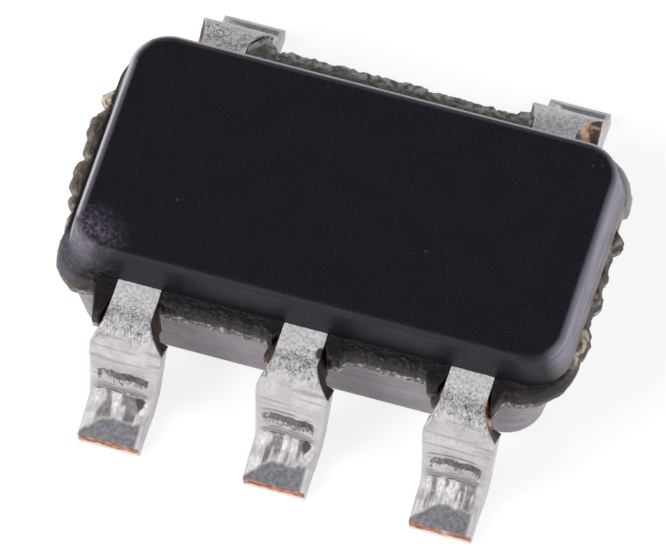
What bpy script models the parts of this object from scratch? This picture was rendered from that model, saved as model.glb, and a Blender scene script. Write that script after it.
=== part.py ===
"""A five-lead buffer chip in a small gull-wing surface-mount package, with what it holds inside.

World axes: X runs along the body, Y to the two-lead side, Z up. The origin is on the board,
below the middle of the body. Leads 1, 2 and 3 are on the -Y side from left to right,
lead 4 is at the right and lead 5 at the left of the +Y side.
"""
import math

import bmesh
import bpy
from mathutils import Vector

MM = 0.001

# Lead frame: the strip that all five leads are stamped from
PITCH = 0.95 * MM
LEAD_THICKNESS = 0.15 * MM
LEAD_WIDTH = 0.355 * MM
NECK_WIDTH = 0.25 * MM
EDGE_ROLL = 0.014 * MM
ROLL_SHOULDER_SHARE = 0.3

# Package: the moulded body, above and below the lead frame
END_MARGIN = 0.50 * MM
BODY_WIDTH = 1.45 * MM
UPPER_HEIGHT = 0.25 * MM
LOWER_HEIGHT = 0.545 * MM
STANDOFF = 0.055 * MM
END_DRAFT = math.radians(11.0)
SIDE_DRAFT = math.radians(3.5)
LOWER_END_DRAFT = math.radians(12.0)
LOWER_SIDE_DRAFT = math.radians(2.3)
CORNER_RADIUS = 0.24 * MM
TOP_EDGE_RADIUS = 0.042 * MM
BOTTOM_EDGE_RADIUS = 0.030 * MM
CORNER_STEPS = 8
EDGE_STEPS = 4

# Forming: the gull wing outside the body
LEAD_REACH = 0.65 * MM
FOOT_LENGTH = 0.17 * MM
FOOT_ANGLE = math.radians(4.0)
LEG_ANGLE = math.radians(85.0)
SHOULDER_RADIUS = 0.12 * MM
HEEL_RADIUS = 0.15 * MM
NOTCH_LENGTH = 0.12 * MM
NOTCH_POWER = 1.4
TIE_STUB = 0.055 * MM
TIP_THICKNESS = 0.095 * MM
TIP_BEVEL = 0.12 * MM
BEND_STEPS = 8
NOTCH_STEPS = 6

# Inside: the ends of the leads that the mould compound holds
ANCHOR_WIDTH = 0.36 * MM
ANCHOR_DEPTH = 0.30 * MM
ANCHOR_NECK = 0.10 * MM
ANCHOR_TAPER = 0.03 * MM
PAD_BORDER_X = 0.19 * MM
PAD_BORDER_Y = 0.07 * MM
PAD_DOWNSET = 0.16 * MM
RAMP_ANGLE = math.radians(40.0)
RAMP_RADIUS = 0.09 * MM

# Inside: the die, its adhesive and the gold wires
DIE_LENGTH = 0.62 * MM
DIE_WIDTH = 0.52 * MM
DIE_HEIGHT = 0.14 * MM
ADHESIVE_HEIGHT = 0.020 * MM
ADHESIVE_MARGIN = 0.020 * MM
WIRE_DIAMETER = 0.025 * MM
BALL_DIAMETER = 0.064 * MM
BALL_HEIGHT = 0.022 * MM
BALL_FOOT_SHARE = 0.72
BALL_TOP_SHARE = 0.60
BALL_WAIST_SHARE = 0.40
WIRE_RISE = 0.085 * MM
WIRE_OVERSHOOT = 0.025 * MM
BOND_INSET = 0.080 * MM
LANDING_INSET = 0.075 * MM
WIRE_STEPS = 10
WIRE_SIDES = 8

# Moulding flash at the level of the lead frame, as the photograph shows it.
# Each tongue: the axis its wall faces along, the wall's side, where it starts and ends
# along the wall, and how far it stands out. The short ones fill the room beside a neck.
FLASH_TONGUES = (
    ("y", -1, -1.240 * MM, 1.240 * MM, 0.080 * MM),
    ("y", -1, -1.170 * MM, -1.070 * MM, 0.235 * MM),
    ("y", -1, -0.230 * MM, -0.120 * MM, 0.110 * MM),
    ("y", -1, 0.120 * MM, 0.270 * MM, 0.145 * MM),
    ("y", -1, 0.690 * MM, 0.830 * MM, 0.140 * MM),
    ("y", -1, 1.070 * MM, 1.155 * MM, 0.205 * MM),
    ("y", 1, -1.150 * MM, 1.130 * MM, 0.170 * MM),
    ("y", 1, 1.080 * MM, 1.240 * MM, 0.070 * MM),
    ("y", 1, -0.830 * MM, -0.640 * MM, 0.265 * MM),
    ("y", 1, 0.690 * MM, 0.830 * MM, 0.205 * MM),
    ("x", -1, -0.520 * MM, -0.330 * MM, 0.030 * MM),
    ("x", -1, -0.350 * MM, -0.255 * MM, 0.045 * MM),
    ("x", -1, -0.250 * MM, -0.035 * MM, 0.070 * MM),
    ("x", -1, -0.050 * MM, 0.280 * MM, 0.080 * MM),
    ("x", -1, 0.310 * MM, 0.400 * MM, 0.055 * MM),
    ("x", 1, -0.520 * MM, -0.440 * MM, 0.040 * MM),
    ("x", 1, -0.460 * MM, -0.255 * MM, 0.058 * MM),
    ("x", 1, -0.150 * MM, 0.030 * MM, 0.048 * MM),
    ("x", 1, 0.020 * MM, 0.235 * MM, 0.032 * MM),
    ("x", 1, 0.225 * MM, 0.420 * MM, 0.055 * MM),
)
# The flash round a corner: the corner's side along x and along y, and how far it stands out
# where it meets the end wall, at its middle, and where it meets the long wall.
FLASH_CORNERS = (
    (-1, -1, 0.030 * MM, 0.078 * MM, 0.085 * MM),
    (1, -1, 0.037 * MM, 0.046 * MM, 0.080 * MM),
    (1, 1, 0.045 * MM, 0.058 * MM, 0.070 * MM),
)
FLASH_FADE = 0.05 * MM
FLASH_END_SHARE = 0.35
FLASH_ROUGHNESS = 0.014 * MM
FLASH_STEP = 0.03 * MM
FLASH_ROOT = 0.12 * MM

# How far apart two pieces lie where the real ones touch
TOUCH_GAP = 0.005 * MM

MOULD_COLOUR = (0.017, 0.014, 0.022, 1.0)
TIN_COLOUR = (0.72, 0.70, 0.73, 1.0)
SILICON_COLOUR = (0.24, 0.25, 0.30, 1.0)
ADHESIVE_COLOUR = (0.52, 0.51, 0.49, 1.0)
GOLD_COLOUR = (0.90, 0.62, 0.20, 1.0)
SHARP_ANGLE = math.radians(32)

# Sizes that follow from those above
BODY_LENGTH = 2 * (PITCH + END_MARGIN)
LEAD_BOTTOM = STANDOFF + LOWER_HEIGHT
LEAD_MIDDLE = LEAD_BOTTOM + LEAD_THICKNESS / 2
LEAD_TOP = LEAD_BOTTOM + LEAD_THICKNESS
BODY_TOP = LEAD_TOP + UPPER_HEIGHT
PAD_TOP = LEAD_TOP - PAD_DOWNSET
DIE_BOTTOM = PAD_TOP + ADHESIVE_HEIGHT + 2 * TOUCH_GAP
DIE_TOP = DIE_BOTTOM + DIE_HEIGHT
ANCHOR_MIDDLE = BODY_WIDTH / 2 - ANCHOR_NECK - ANCHOR_DEPTH / 2

# Lead number: place across the body in pitches, and -1 for the front row or 1 for the back row
LEADS = {1: (-1, -1), 2: (0, -1), 3: (1, -1), 4: (1, 1), 5: (-1, 1)}
PAD_LEAD = 2


def clear_scene():
    for old in list(bpy.data.objects):
        bpy.data.objects.remove(old, do_unlink=True)


def make_material(name, colour, metallic, roughness):
    material = bpy.data.materials.new(name)
    material.use_nodes = True
    shader = material.node_tree.nodes["Principled BSDF"]
    shader.inputs["Base Color"].default_value = colour
    shader.inputs["Metallic"].default_value = metallic
    shader.inputs["Roughness"].default_value = roughness
    return material


def make_object(name, bm, material, parent=None):
    """Turn a bmesh into a named object whose faces point out."""
    bmesh.ops.recalc_face_normals(bm, faces=bm.faces)
    mesh = bpy.data.meshes.new(name)
    bm.to_mesh(mesh)
    bm.free()
    mesh.materials.append(material)
    mesh.shade_smooth()
    mesh.set_sharp_from_angle(angle=SHARP_ANGLE)
    piece = bpy.data.objects.new(name, mesh)
    bpy.context.scene.collection.objects.link(piece)
    piece.parent = parent
    return piece


def skin_rings(rings):
    """Close a run of equal rings of points into one capped solid."""
    bm = bmesh.new()
    loops = [[bm.verts.new(point) for point in ring] for ring in rings]
    for lower, upper in zip(loops, loops[1:]):
        for index in range(len(lower)):
            after = (index + 1) % len(lower)
            bm.faces.new((lower[index], lower[after], upper[after], upper[index]))
    bm.faces.new(loops[0])
    bm.faces.new(loops[-1])
    return bm


def combine(target, bm, operation):
    """Join a solid to the target's mesh, or cut it out."""
    tool = make_object("tool", bm, target.data.materials[0])
    modifier = target.modifiers.new("combine", "BOOLEAN")
    modifier.operation = operation
    modifier.solver = "EXACT"
    modifier.object = tool
    graph = bpy.context.evaluated_depsgraph_get()
    joined = bpy.data.meshes.new_from_object(target.evaluated_get(graph))
    target.modifiers.clear()
    target.data = joined
    bpy.data.objects.remove(tool, do_unlink=True)


# The moulded body

def rounded_rectangle(half_x, half_y, radius, height):
    """Points of a level rounded rectangle, anticlockwise seen from above."""
    points = []
    for quarter, (sign_x, sign_y) in enumerate(((1, 1), (-1, 1), (-1, -1), (1, -1))):
        centre = Vector((sign_x * (half_x - radius), sign_y * (half_y - radius), height))
        for step in range(CORNER_STEPS + 1):
            angle = math.radians(90) * (quarter + step / CORNER_STEPS)
            points.append(centre + radius * Vector((math.cos(angle), math.sin(angle), 0)))
    return points


def wall_sizes(height):
    """Half length and half width of the drafted walls at a height."""
    rise = height - LEAD_MIDDLE
    end_draft, side_draft = (END_DRAFT, SIDE_DRAFT) if rise > 0 else (LOWER_END_DRAFT, LOWER_SIDE_DRAFT)
    half_length = BODY_LENGTH / 2 - abs(rise) * math.tan(end_draft)
    half_width = BODY_WIDTH / 2 - abs(rise) * math.tan(side_draft)
    return half_length, half_width


def edge_rings(face_height, radius, inward):
    """Sizes of the rings that round a drafted wall into a level face, from the wall to the face."""
    wall_height = face_height - inward * radius
    half_length, half_width = wall_sizes(wall_height)
    for step in range(EDGE_STEPS + 1):
        angle = math.radians(90) * step / EDGE_STEPS
        inset = radius * (1 - math.cos(angle))
        height = wall_height + inward * radius * math.sin(angle)
        yield half_length - inset, half_width - inset, height


def body_block():
    """The block that the two mould halves leave, widest at the lead frame."""
    bottom = list(edge_rings(STANDOFF, BOTTOM_EDGE_RADIUS, -1))
    top = list(edge_rings(BODY_TOP, TOP_EDGE_RADIUS, 1))
    rings = []
    for half_x, half_y, height in bottom[::-1] + [(*wall_sizes(LEAD_MIDDLE), LEAD_MIDDLE)] + top:
        corner = CORNER_RADIUS - (BODY_WIDTH / 2 - half_y)
        rings.append(rounded_rectangle(half_x, half_y, corner, height))
    return skin_rings(rings)


def ragged(along, seed):
    """A repeatable ragged line between -1 and 1, along an edge."""
    place = along / MM
    waves = ((21.0, 1.7), (47.0, 3.1), (83.0, 5.3))
    return sum(math.sin(place * rate + seed * shift) for rate, shift in waves) / len(waves)


def flash_tongue(axis, side, start, end, reach, seed):
    """One tongue of flash as thick as the lead frame, on the walls that face along an axis."""
    wall = (BODY_LENGTH if axis == "x" else BODY_WIDTH) / 2
    count = max(4, round((end - start) / FLASH_STEP))
    outline = [(start, wall - FLASH_ROOT)]
    for step in range(count + 1):
        share = step / count
        along = start + (end - start) * share
        to_end = (end - start) * min(share, 1 - share)
        swell = min(1.0, FLASH_END_SHARE + to_end / FLASH_FADE)
        outline.append((along, wall + reach * swell + FLASH_ROUGHNESS * ragged(along, seed)))
    outline.append((end, wall - FLASH_ROOT))
    rings = []
    for height in (LEAD_BOTTOM, LEAD_TOP):
        if axis == "x":
            rings.append([Vector((side * out, along, height)) for along, out in outline])
        else:
            rings.append([Vector((along, side * out, height)) for along, out in outline])
    return skin_rings(rings)


def flash_corner(side_x, side_y, at_end, at_middle, at_long):
    """The flash round one corner of the body, as thick as the lead frame."""
    centre_x = BODY_LENGTH / 2 - CORNER_RADIUS
    centre_y = BODY_WIDTH / 2 - CORNER_RADIUS
    outline = [(centre_x, centre_y)]
    for step in range(CORNER_STEPS + 1):
        share = step / CORNER_STEPS
        if share < 0.5:
            reach = at_end + (at_middle - at_end) * 2 * share
        else:
            reach = at_middle + (at_long - at_middle) * (2 * share - 1)
        radius, angle = CORNER_RADIUS + reach, math.radians(90) * share
        outline.append((centre_x + radius * math.cos(angle), centre_y + radius * math.sin(angle)))
    return skin_rings([
        [Vector((side_x * x, side_y * y, height)) for x, y in outline]
        for height in (LEAD_BOTTOM, LEAD_TOP)
    ])


# The leads

def wing_stretches():
    """Length and turn of the shoulder bend, leg, heel bend and foot. A turn down is positive."""
    heel_turn = LEG_ANGLE - FOOT_ANGLE
    tip_middle = LEAD_THICKNESS / 2 * math.cos(FOOT_ANGLE)
    bends_drop = SHOULDER_RADIUS * (1 - math.cos(LEG_ANGLE))
    bends_drop += HEEL_RADIUS * (math.cos(FOOT_ANGLE) - math.cos(LEG_ANGLE))
    leg_drop = LEAD_MIDDLE - tip_middle - bends_drop - FOOT_LENGTH * math.sin(FOOT_ANGLE)
    return [
        (SHOULDER_RADIUS * LEG_ANGLE, LEG_ANGLE),
        (leg_drop / math.sin(LEG_ANGLE), 0),
        (HEEL_RADIUS * heel_turn, -heel_turn),
        (FOOT_LENGTH, 0),
    ]


def path_end(stretches, run, out=0.0, height=0.0, heading=0.0):
    """Where a path of straight and bent stretches is after a run along it."""
    for index, (length, turn) in enumerate(stretches):
        part = run if index == len(stretches) - 1 else min(run, length)
        if turn:
            radius = length / turn
            new_heading = heading + part / radius
            out += radius * (math.sin(new_heading) - math.sin(heading))
            height += radius * (math.cos(new_heading) - math.cos(heading))
            heading = new_heading
        else:
            out += part * math.cos(heading)
            height -= part * math.sin(heading)
        run -= part
        if run <= 0:
            break
    return out, height, heading


def total_run(stretches):
    return sum(length for length, turn in stretches)


def inner_path(with_pad):
    """Start place, level and stretches of a lead inside the body, up to its last level stretch."""
    if not with_pad:
        return BODY_WIDTH / 2 - ANCHOR_NECK - ANCHOR_DEPTH, LEAD_MIDDLE, []
    pad_width = DIE_WIDTH + 2 * PAD_BORDER_Y
    climb = PAD_DOWNSET - 2 * RAMP_RADIUS * (1 - math.cos(RAMP_ANGLE))
    return -pad_width / 2, LEAD_MIDDLE - PAD_DOWNSET, [
        (pad_width, 0),
        (RAMP_RADIUS * RAMP_ANGLE, -RAMP_ANGLE),
        (climb / math.sin(RAMP_ANGLE), 0),
        (RAMP_RADIUS * RAMP_ANGLE, RAMP_ANGLE),
    ]


def level_to(out, stretches, goal):
    """The stretches with one more, level, which ends at a distance from the body's middle."""
    reached = path_end(stretches, total_run(stretches), out)[0]
    return stretches + [(goal - reached, 0)]


def neck_halves():
    return NECK_WIDTH / 2, NECK_WIDTH / 2


def inner_marks(with_pad):
    """Runs, and half widths left and right, of a lead inside the body, up to its neck."""
    if with_pad:
        half, depth = DIE_LENGTH / 2 + PAD_BORDER_X, DIE_WIDTH + 2 * PAD_BORDER_Y
    else:
        half, depth = ANCHOR_WIDTH / 2, ANCHOR_DEPTH
    return [(0, half, half), (depth - ANCHOR_TAPER, half, half), (depth, *neck_halves())]


def wing_marks(bend_run):
    """Runs and half widths, left and right, from the shoulder to the tip of the foot.

    The neck widens to the leg in a hollow notch, and the leg keeps a stub of the tie bar
    on its right side, which dies out on the way to the foot.
    """
    left_step = (LEAD_WIDTH - NECK_WIDTH) / 2
    right_step = left_step + TIE_STUB
    marks = []
    half = NECK_WIDTH / 2
    for step in range(NOTCH_STEPS + 1):
        share = step / NOTCH_STEPS
        widen = share ** NOTCH_POWER
        run = bend_run + NOTCH_LENGTH * share
        marks.append((run, half + left_step * widen, half + right_step * widen))
    end_run = bend_run + total_run(wing_stretches())
    marks.append((end_run - FOOT_LENGTH, LEAD_WIDTH / 2, LEAD_WIDTH / 2))
    marks.append((end_run, LEAD_WIDTH / 2, LEAD_WIDTH / 2))
    return marks


def between_marks(marks, run):
    """Left and right half widths at a run, read between the marks on both sides of it."""
    for before, after in zip(marks, marks[1:]):
        if run <= after[0]:
            share = (run - before[0]) / (after[0] - before[0])
            return [before[i] + share * (after[i] - before[i]) for i in (1, 2)]
    return marks[-1][1:]


def bend_runs(stretches):
    """Runs at both ends of every stretch, and along the bends."""
    runs = [0.0]
    for length, turn in stretches:
        pieces = BEND_STEPS if turn else 1
        runs += [runs[-1] + length * (step + 1) / pieces for step in range(pieces)]
    return runs


def spread_runs(runs):
    """Sorted runs without those that nearly coincide."""
    kept = []
    for run in sorted(runs):
        if not kept or run - kept[-1] > TOUCH_GAP / 2:
            kept.append(run)
    return kept


def lead_section(left, right, top, bottom, roll=EDGE_ROLL):
    """Across and up places of a lead's section, its upper edges rolled over by the punch."""
    shallow = ROLL_SHOULDER_SHARE * roll
    return [
        (-left, bottom), (right, bottom),
        (right, top - roll), (right - shallow, top - shallow), (right - roll, top),
        (-left + roll, top), (-left + shallow, top - shallow), (-left, top - roll),
    ]


def place_section(section, across, side, out, height, heading):
    """Points of a section stood square on its path."""
    points = []
    for over, lift in section:
        reach = out + lift * math.sin(heading)
        points.append(Vector((across + over, side * reach, height + lift * math.cos(heading))))
    return points


def neck_end():
    """How far from the body's middle the level neck ends and the shoulder bend starts."""
    wing = wing_stretches()
    return BODY_WIDTH / 2 + LEAD_REACH - path_end(wing, total_run(wing))[0]


def lead_solid(number):
    """One lead: its end inside the body, the neck, the shoulder, the leg and the foot."""
    across, side = LEADS[number]
    out, height, inner = inner_path(number == PAD_LEAD)
    level = level_to(out, inner, neck_end())
    stretches = level + wing_stretches()
    marks = inner_marks(number == PAD_LEAD) + wing_marks(total_run(level))
    tip_run = marks[-1][0]
    runs = bend_runs(stretches) + [mark[0] for mark in marks] + [tip_run - TIP_BEVEL]
    rings = []
    for run in spread_runs(runs):
        left, right = between_marks(marks, run)
        thinning = max(0.0, 1 - (tip_run - run) / TIP_BEVEL) * (LEAD_THICKNESS - TIP_THICKNESS)
        section = lead_section(left, right, LEAD_THICKNESS / 2 - thinning, -LEAD_THICKNESS / 2)
        place = path_end(stretches, run, out, height)
        rings.append(place_section(section, across * PITCH, side, *place))
    return skin_rings(rings)


def lead_pocket(number):
    """The room that a lead takes up in the mould compound, out past the flash."""
    across, side = LEADS[number]
    out, height, inner = inner_path(number == PAD_LEAD)
    longest = max(tongue[-1] for tongue in FLASH_TONGUES if tongue[0] == "y")
    flash_end = BODY_WIDTH / 2 + longest + 2 * FLASH_ROUGHNESS
    stretches = level_to(out, inner, flash_end)
    end_run = total_run(stretches)
    marks = inner_marks(number == PAD_LEAD)
    marks += wing_marks(total_run(level_to(out, inner, neck_end())))
    reach = LEAD_THICKNESS / 2 + TOUCH_GAP
    rings = []
    mark_runs = [mark[0] for mark in marks if mark[0] < end_run]
    for run in spread_runs(bend_runs(stretches) + mark_runs):
        left, right = (half + TOUCH_GAP for half in between_marks(marks, run))
        section = [(-left, -reach), (right, -reach), (right, reach), (-left, reach)]
        place = path_end(stretches, run, out, height)
        rings.append(place_section(section, across * PITCH, side, *place))
    rings[0] = [point - Vector((0, side * TOUCH_GAP, 0)) for point in rings[0]]
    return skin_rings(rings)


# The die, its adhesive and the bond wires

def level_block(half_x, half_y, bottom, top):
    corners = ((-half_x, -half_y), (half_x, -half_y), (half_x, half_y), (-half_x, half_y))
    return skin_rings([[Vector((x, y, z)) for x, y in corners] for z in (bottom, top)])


def die_solid(grow=0.0):
    half_x, half_y = DIE_LENGTH / 2 + grow, DIE_WIDTH / 2 + grow
    return level_block(half_x, half_y, DIE_BOTTOM - grow, DIE_TOP + grow)


def adhesive_solid(grow=0.0):
    bottom = PAD_TOP + TOUCH_GAP
    half_x = DIE_LENGTH / 2 + ADHESIVE_MARGIN + grow
    half_y = DIE_WIDTH / 2 + ADHESIVE_MARGIN + grow
    return level_block(half_x, half_y, bottom - grow, bottom + ADHESIVE_HEIGHT + grow)


def wire_ends(number):
    """The middle of a wire's ball on the die, and of its stitch on its lead."""
    across, side = LEADS[number]
    ball = Vector((across * (DIE_LENGTH / 2 - BOND_INSET), side * (DIE_WIDTH / 2 - BOND_INSET), 0))
    if number == PAD_LEAD:
        return ball, Vector((0, side * (BODY_WIDTH / 2 - LANDING_INSET), 0))
    return ball, Vector((across * PITCH, side * ANCHOR_MIDDLE, 0))


def curve_point(points, share):
    """A point and its direction on the cubic curve of four points."""
    back = 1 - share
    a, b, c, d = points
    place = back ** 3 * a + 3 * back ** 2 * share * b + 3 * back * share ** 2 * c + share ** 3 * d
    direction = back ** 2 * (b - a) + 2 * back * share * (c - b) + share ** 2 * (d - c)
    return place, direction.normalized()


def wire_solid(number, grow=0.0):
    """One gold wire: a squashed ball on the die, a loop, and its end on the lead."""
    ball, stitch = wire_ends(number)
    forward = (stitch - ball).normalized()
    across = Vector((0, 0, 1)).cross(forward)
    radius = WIRE_DIAMETER / 2 + grow
    start = DIE_TOP + TOUCH_GAP
    up = Vector((0, 0, 1))
    stations = [
        (ball + up * (start - grow), up, BALL_DIAMETER / 2 * BALL_FOOT_SHARE + grow),
        (ball + up * (start + BALL_HEIGHT * BALL_WAIST_SHARE), up, BALL_DIAMETER / 2 + grow),
        (ball + up * (start + BALL_HEIGHT + grow), up, BALL_DIAMETER / 2 * BALL_TOP_SHARE + grow),
    ]
    span = (stitch - ball).length
    top = start + BALL_HEIGHT + WIRE_RISE
    landing = LEAD_TOP + TOUCH_GAP + WIRE_DIAMETER / 2
    curve = (
        ball + up * (start + BALL_HEIGHT + 3 * grow),
        ball + up * (top + WIRE_OVERSHOOT),
        ball + forward * span / 2 + up * top,
        stitch + forward * grow + up * landing,
    )
    for step in range(1, WIRE_STEPS + 1):
        place, direction = curve_point(curve, step / WIRE_STEPS)
        stations.append((place, direction, radius))
    rings = []
    for place, direction, size in stations:
        lift = across.cross(direction)
        rings.append([
            place + size * (math.cos(turn) * across + math.sin(turn) * lift)
            for turn in (2 * math.pi * (side + 0.5) / WIRE_SIDES for side in range(WIRE_SIDES))
        ])
    return skin_rings(rings)


def make_body(parent):
    mould = make_material("mould_compound", MOULD_COLOUR, 0.0, 0.42)
    body = make_object("body", body_block(), mould, parent)
    for seed, tongue in enumerate(FLASH_TONGUES):
        combine(body, flash_tongue(*tongue, seed), "UNION")
    for corner in FLASH_CORNERS:
        combine(body, flash_corner(*corner), "UNION")
    for number in LEADS:
        combine(body, lead_pocket(number), "DIFFERENCE")
    combine(body, adhesive_solid(TOUCH_GAP), "DIFFERENCE")
    combine(body, die_solid(TOUCH_GAP), "DIFFERENCE")
    for number in LEADS:
        combine(body, wire_solid(number, TOUCH_GAP), "DIFFERENCE")
    body.data.set_sharp_from_angle(angle=SHARP_ANGLE)
    return body


def make_leads(parent):
    tin = make_material("tin_plated_copper", TIN_COLOUR, 1.0, 0.36)
    for number in LEADS:
        make_object(f"lead_{number}", lead_solid(number), tin, parent)


def make_die(parent):
    make_object("die", die_solid(), make_material("silicon", SILICON_COLOUR, 0.4, 0.25), parent)
    adhesive = make_material("silver_adhesive", ADHESIVE_COLOUR, 0.3, 0.6)
    make_object("die_adhesive", adhesive_solid(), adhesive, parent)


def make_wires(parent):
    gold = make_material("gold", GOLD_COLOUR, 1.0, 0.25)
    for number in LEADS:
        make_object(f"bond_wire_{number}", wire_solid(number), gold, parent)


def main():
    clear_scene()
    chip = bpy.data.objects.new("chip", None)
    bpy.context.scene.collection.objects.link(chip)
    make_body(chip)
    make_leads(chip)
    make_die(chip)
    make_wires(chip)


main()
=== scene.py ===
import math

import bmesh
import bpy
import numpy as np
from mathutils import Matrix, Vector


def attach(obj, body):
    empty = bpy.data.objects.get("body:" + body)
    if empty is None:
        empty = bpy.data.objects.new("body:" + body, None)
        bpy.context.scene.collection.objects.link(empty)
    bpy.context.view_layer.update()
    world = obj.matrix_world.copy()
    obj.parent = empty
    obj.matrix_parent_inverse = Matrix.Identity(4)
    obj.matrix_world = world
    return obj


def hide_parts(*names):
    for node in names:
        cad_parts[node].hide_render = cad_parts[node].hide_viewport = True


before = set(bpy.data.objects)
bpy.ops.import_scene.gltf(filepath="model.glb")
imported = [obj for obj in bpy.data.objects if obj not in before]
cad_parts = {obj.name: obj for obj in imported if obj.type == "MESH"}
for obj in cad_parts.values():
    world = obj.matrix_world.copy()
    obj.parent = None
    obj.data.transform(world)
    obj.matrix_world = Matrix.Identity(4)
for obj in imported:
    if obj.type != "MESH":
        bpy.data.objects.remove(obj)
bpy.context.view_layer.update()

MM = 0.001

# Sizes of the part, in millimetres, as its source has them
PITCH = 0.95
LEAD_THICKNESS = 0.15
LEAD_WIDTH = 0.355
NECK_WIDTH = 0.25
BODY_LENGTH = 2.9
BODY_WIDTH = 1.45
STANDOFF = 0.055
LEAD_BOTTOM = 0.6
LEAD_MIDDLE = 0.675
LEAD_TOP = 0.75
BODY_TOP = 1.0
END_DRAFT = math.radians(11.0)
SIDE_DRAFT = math.radians(3.5)
LOWER_END_DRAFT = math.radians(12.0)
LOWER_SIDE_DRAFT = math.radians(2.3)
LOWER_SHIFT = -0.038
UPPER_SHIFT = 0.018
CORNER_RADIUS = 0.24
TOP_EDGE_RADIUS = 0.042
# How strong the painted highlight is along the rim of the top face
TOP_RIM_EDGE = 0.3
BOTTOM_EDGE_RADIUS = 0.03
LEAD_REACH = 0.65
FOOT_LENGTH = 0.17
FOOT_ANGLE = math.radians(4.0)
LEG_ANGLE = math.radians(85.0)
BACK_LEG_ANGLE = math.radians(77.0)
SHOULDER_RADIUS = 0.12
HEEL_RADIUS = 0.15
NOTCH_LENGTH = 0.12
NOTCH_POWER = 1.4
TIE_STUB = 0.055
TIP_THICKNESS = 0.095
TIP_BEVEL = 0.12
ANCHOR_WIDTH = 0.36
ANCHOR_DEPTH = 0.3
ANCHOR_NECK = 0.1
ANCHOR_TAPER = 0.03
DIE_LENGTH = 0.62
DIE_WIDTH = 0.52
PAD_BORDER_X = 0.19
PAD_BORDER_Y = 0.07
PAD_DOWNSET = 0.16
RAMP_ANGLE = math.radians(40.0)
RAMP_RADIUS = 0.09
LEADS = {1: (-1, -1), 2: (0, -1), 3: (1, -1), 4: (1, 1), 5: (-1, 1)}
PAD_LEAD = 2
WALL_FOOT = STANDOFF + BOTTOM_EDGE_RADIUS
WALL_HEAD = BODY_TOP - TOP_EDGE_RADIUS
PAD_HALF = DIE_LENGTH / 2 + PAD_BORDER_X
PAD_DEPTH = DIE_WIDTH + 2 * PAD_BORDER_Y

# The photograph's frame and its camera, from the fit of the leads and the body to it
PHOTO_WIDTH = 666
SENSOR = 36.0
PIXELS_PER_MM = 180.527
CAMERA_DISTANCE = 64.92
CAMERA_AZIMUTH = 18.4852
CAMERA_ELEVATION = 61.877
CAMERA_ROLL = -1.8276
SHIFT_RIGHT = 13.511
SHIFT_DOWN = 3.634

# Tongues of flash at the level of the lead frame, by wall: the start, end and reach of each
FLASH_TONGUES = (
    ("front", (-1.24, 1.24, 0.08), (-1.195, -1.07, 0.235), (-0.23, -0.12, 0.11),
     (0.12, 0.27, 0.145), (0.69, 0.83, 0.14), (1.07, 1.155, 0.205)),
    ("back", (-1.15, -1.07, 0.06), (-1.075, 1.13, 0.178), (1.08, 1.24, 0.07),
     (-0.83, -0.64, 0.265), (0.69, 0.83, 0.205)),
    ("left", (-0.52, -0.33, 0.016), (-0.35, 0.28, 0.036), (-0.352, -0.262, 0.05),
     (-0.255, -0.035, 0.072), (-0.03, 0.285, 0.06), (0.085, 0.255, 0.079), (0.31, 0.405, 0.06)),
    ("right", (-0.52, -0.44, 0.038), (-0.46, -0.255, 0.053), (-0.26, 0.24, 0.024),
     (-0.15, -0.02, 0.05), (0.02, 0.13, 0.036), (0.235, 0.35, 0.053)),
    ("back", (-0.64, 0.25, 0.19)),
)
# The reach of the flash at evenly spaced places round each corner, walking anticlockwise from
# the front right corner
CORNER_REACHES = ((0.08, 0.046, 0.037), (0.03, 0.057, 0.07), (0.006, 0.006, 0.006),
                  (0.0, 0.034, 0.076, 0.095, 0.055))
# How the tongues fade at their ends, and how ragged and round their edges are
FLASH_FADE = 0.04
PEAK_REACH = 0.25
PEAK_END_SHARE = 0.62
FLASH_END_SHARE = 0.35
FLASH_ROUGHNESS = 0.011
FLASH_EDGE_ROUND = 0.022
FLASH_ROUND_HEIGHT = 0.026
FULL_REACH = 0.05
PARTING_BURR = 0.006
# How far the corners and the rim take other tones: a paler painted light at the front left corner
# and the back left, a painted amber glow on the rim, and the course of the painted highlight that
# runs down the wall at the front left corner
FRONT_LEFT_PALENESS = 0.15
CORNER_SHEEN = 0.7
SHEEN_TURN = 0.42
SHEEN_TOP = 0.975
SHEEN_DROP = 0.21
BACK_LEFT_PALENESS = 0.7
FRONT_RIGHT_MERGED = 0.85
BULGE_PALENESS = 0.42
RIM_AMBER = 0.16

# Where the flash is thin and amber, with a painted glow of light through it, by wall: start, end,
# strength
AMBER_STRETCHES = {
    "left": ((0.285, 0.42, 1.0), (-0.5, -0.35, 0.9), (-0.08, -0.02, 0.5)),
    "right": ((-0.6, -0.29, 0.8), (-0.14, -0.06, 0.4), (0.13, 0.3, 0.35)),
}
# How strong the painted amber glow and how worn the flash is round each corner, and how worn on each
# wall
CORNER_AMBER = ((0.0, 0.1, 0.8), (0.0, 0.0, 0.0), (0.0, 0.0, 0.0), (0.4, 0.0, 0.0))
CORNER_WEAR = ((0.0, 0.2, 0.6), (0.9, 0.9, 0.9), (1.0, 1.0, 0.9), (0.6, 0.6, 0.3))
WALL_WEAR = {"front": 0.0, "right": 0.6, "back": 1.0, "left": 0.9}

NOISE_CELLS = 64


def stacked(rows):
    """The rows' values as one array for each label."""
    return {label: np.array([row[label] for row in rows]) for label in rows[0]}


def ramp(value, low, high):
    """0 below low and 1 above high, with a smooth rise between."""
    share = np.clip((value - low) / (high - low), 0.0, 1.0)
    return share * share * (3 - 2 * share)


def band(value, low, high, soft):
    """1 between low and high, with soft sides."""
    return ramp(value, low - soft, low + soft) * (1 - ramp(value, high - soft, high + soft))


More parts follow.
